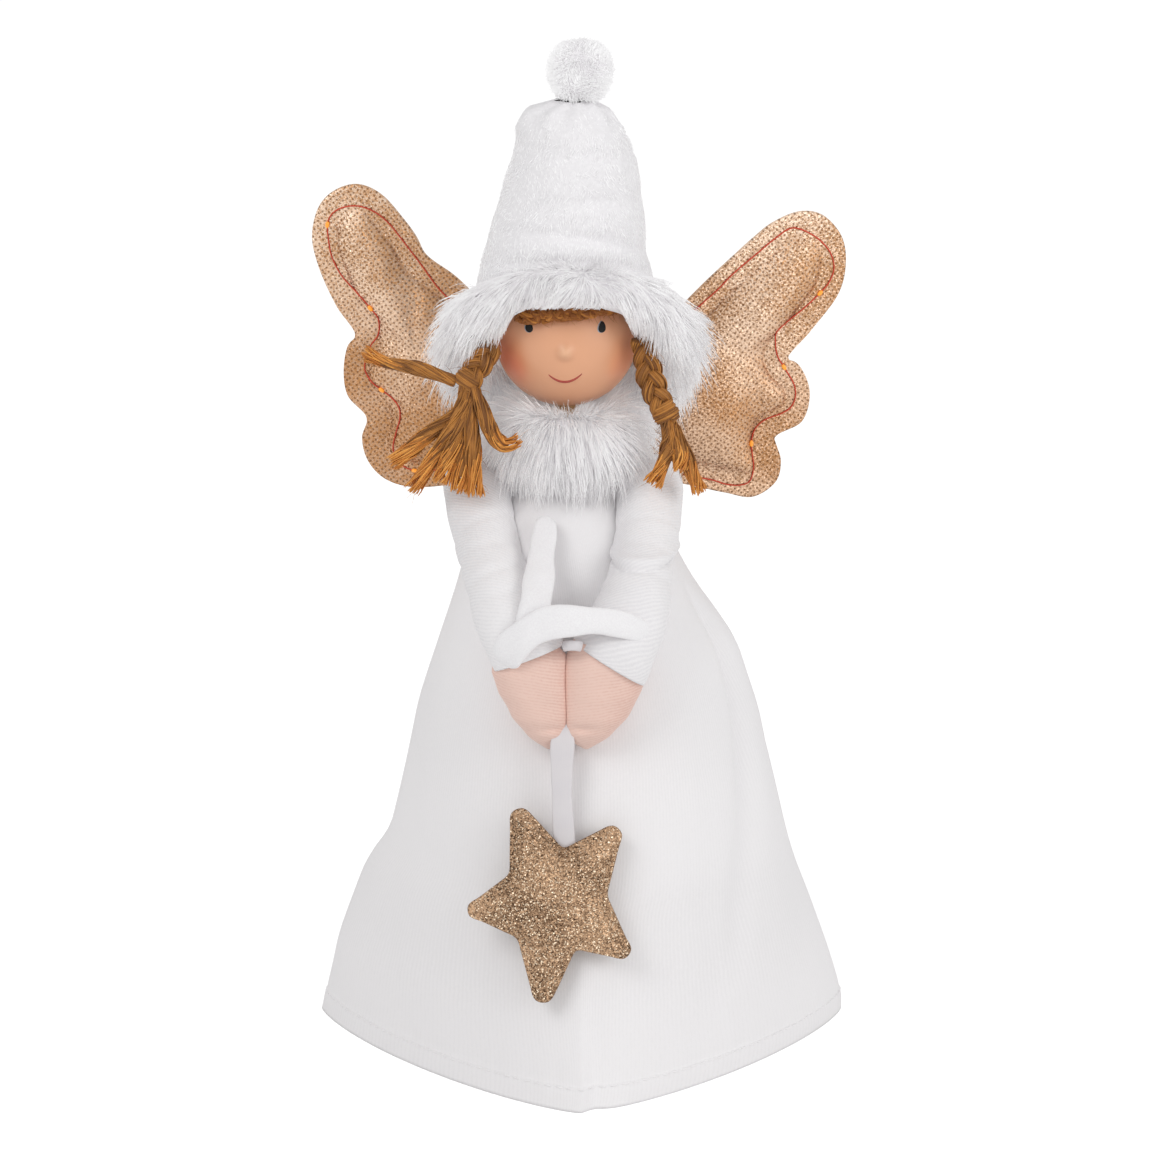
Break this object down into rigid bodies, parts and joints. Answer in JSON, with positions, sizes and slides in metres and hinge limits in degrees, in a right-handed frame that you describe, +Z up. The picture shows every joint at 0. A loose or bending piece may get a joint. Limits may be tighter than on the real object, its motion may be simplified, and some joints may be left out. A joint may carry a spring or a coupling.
{
  "type": "standing christmas angel with lit wings",
  "caption": "Standing cloth angel on a card cone, with fur hat, yarn plaits, joined hands holding a padded star, and two padded wings edged with a string of small lamps.",
  "frame": {"origin": "centre of the footprint of the dress on the surface it stands on", "axes": "+Z up along the figure, -Y the way the face looks, +X to the viewer's right"},
  "size_m": [0.1604, 0.1538, 0.2998],
  "materials": {
    "dress_cloth": "matte",
    "card": "matte",
    "plain_wood": "matte",
    "painted_skin": "satin",
    "fur": "matte",
    "hat_cloth": "matte",
    "yarn": "matte",
    "wadding": "matte",
    "sleeve_knit": "matte",
    "hand_knit": "matte",
    "tie_felt": "matte",
    "satin": "satin",
    "star_glitter": "satin",
    "wing_cloth": "satin",
    "copper_wire": "satin",
    "lamp_resin": "gloss",
    "lead_insulation": "satin",
    "case_plastic": "satin",
    "foam_tape": "matte",
    "black_plastic": "matte",
    "steel": "satin",
    "board": "satin"
  },
  "bodies": {
    "figure": {"cone_liner": "card", "cone_plug": "plain_wood", "neck_peg": "plain_wood", "torso_stuffing": "wadding", "dress": "dress_cloth", "collar": "fur", "head": "painted_skin", "nose": "painted_skin", "hair_fringe": "yarn", "hat": "hat_cloth", "hat_brim": "fur", "hat_pompom": "fur", "wing_yoke": "tie_felt", "lead_wire": "lead_insulation", "mounting_pad": "foam_tape", "battery_case": "case_plastic", "contact_bottom": "steel", "contact_side": "steel", "cell_1": "steel", "cell_2": "steel", "circuit_board": "board", "switch_body": "black_plastic"},
    "arms": {"sleeve_left": "sleeve_knit", "sleeve_right": "sleeve_knit", "hand_left": "hand_knit", "hand_right": "hand_knit", "wrist_tie": "tie_felt"},
    "ribbon": {"ribbon": "satin"},
    "star": {"star": "star_glitter"},
    "wing_left": {"wing_left_front_cloth": "wing_cloth", "wing_left_back_cloth": "wing_cloth", "wing_left_wadding": "wadding", "led_wire_left": "copper_wire", "led_left_1": "lamp_resin", "led_left_2": "lamp_resin", "led_left_3": "lamp_resin", "led_left_4": "lamp_resin"},
    "wing_right": {"wing_right_front_cloth": "wing_cloth", "wing_right_back_cloth": "wing_cloth", "wing_right_wadding": "wadding", "led_wire_right": "copper_wire", "led_right_1": "lamp_resin", "led_right_2": "lamp_resin", "led_right_3": "lamp_resin", "led_right_4": "lamp_resin"},
    "plait_left": {"plait_left": "yarn", "plait_tie_left": "yarn", "plait_ends_left": "yarn", "loose_strand_left": "yarn"},
    "plait_right": {"plait_right": "yarn", "plait_tie_right": "yarn", "plait_ends_right": "yarn"},
    "battery_cover": {"battery_cover": "case_plastic"},
    "cover_screw": {"cover_screw": "steel"},
    "switch_knob": {"switch_knob": "black_plastic"}
  },
  "joints": [
    {"name": "arms_lift", "type": "hinge", "parent": "figure", "child": "arms", "pos_m": [-0.0052, -0.005, 0.167], "axis": [-1, 0, 0], "range_deg": [0, 18]},
    {"name": "ribbon_lift", "type": "hinge", "parent": "arms", "child": "ribbon", "pos_m": [-0.0042, -0.0493, 0.1165], "axis": [-1, 0, 0], "range_deg": [0, 60]},
    {"name": "star_swing", "type": "hinge", "parent": "ribbon", "child": "star", "pos_m": [-0.0042, -0.05929, 0.0755], "axis": [0, -0.9511, 0.309], "range_deg": [-20, 20]},
    {"name": "wing_left_fold", "type": "hinge", "parent": "figure", "child": "wing_left", "pos_m": [-0.0093, 0.031, 0.175], "axis": [0, 0, -1], "range_deg": [-10, 40]},
    {"name": "wing_right_fold", "type": "hinge", "parent": "figure", "child": "wing_right", "pos_m": [0.0093, 0.031, 0.175], "axis": [0, 0, 1], "range_deg": [-10, 40]},
    {"name": "plait_left_lift", "type": "hinge", "parent": "figure", "child": "plait_left", "pos_m": [-0.0252, -0.0152, 0.213], "axis": [-1, 0, 0], "range_deg": [0, 20]},
    {"name": "plait_right_lift", "type": "hinge", "parent": "figure", "child": "plait_right", "pos_m": [0.01805, -0.0149, 0.2145], "axis": [-1, 0, 0], "range_deg": [0, 20]},
    {"name": "cover_pull", "type": "slide", "parent": "figure", "child": "battery_cover", "axis": [0, -0.9701, -0.2425], "range_m": [0, 0.015]},
    {"name": "screw_turn", "type": "hinge", "parent": "battery_cover", "child": "cover_screw", "pos_m": [0.0116, 0.0292, 0.06589], "axis": [0, -0.9701, -0.2425], "continuous": true},
    {"name": "switch_slide", "type": "slide", "parent": "figure", "child": "switch_knob", "axis": [1, 0, 0], "range_m": [0, 0.003]}
  ]
}
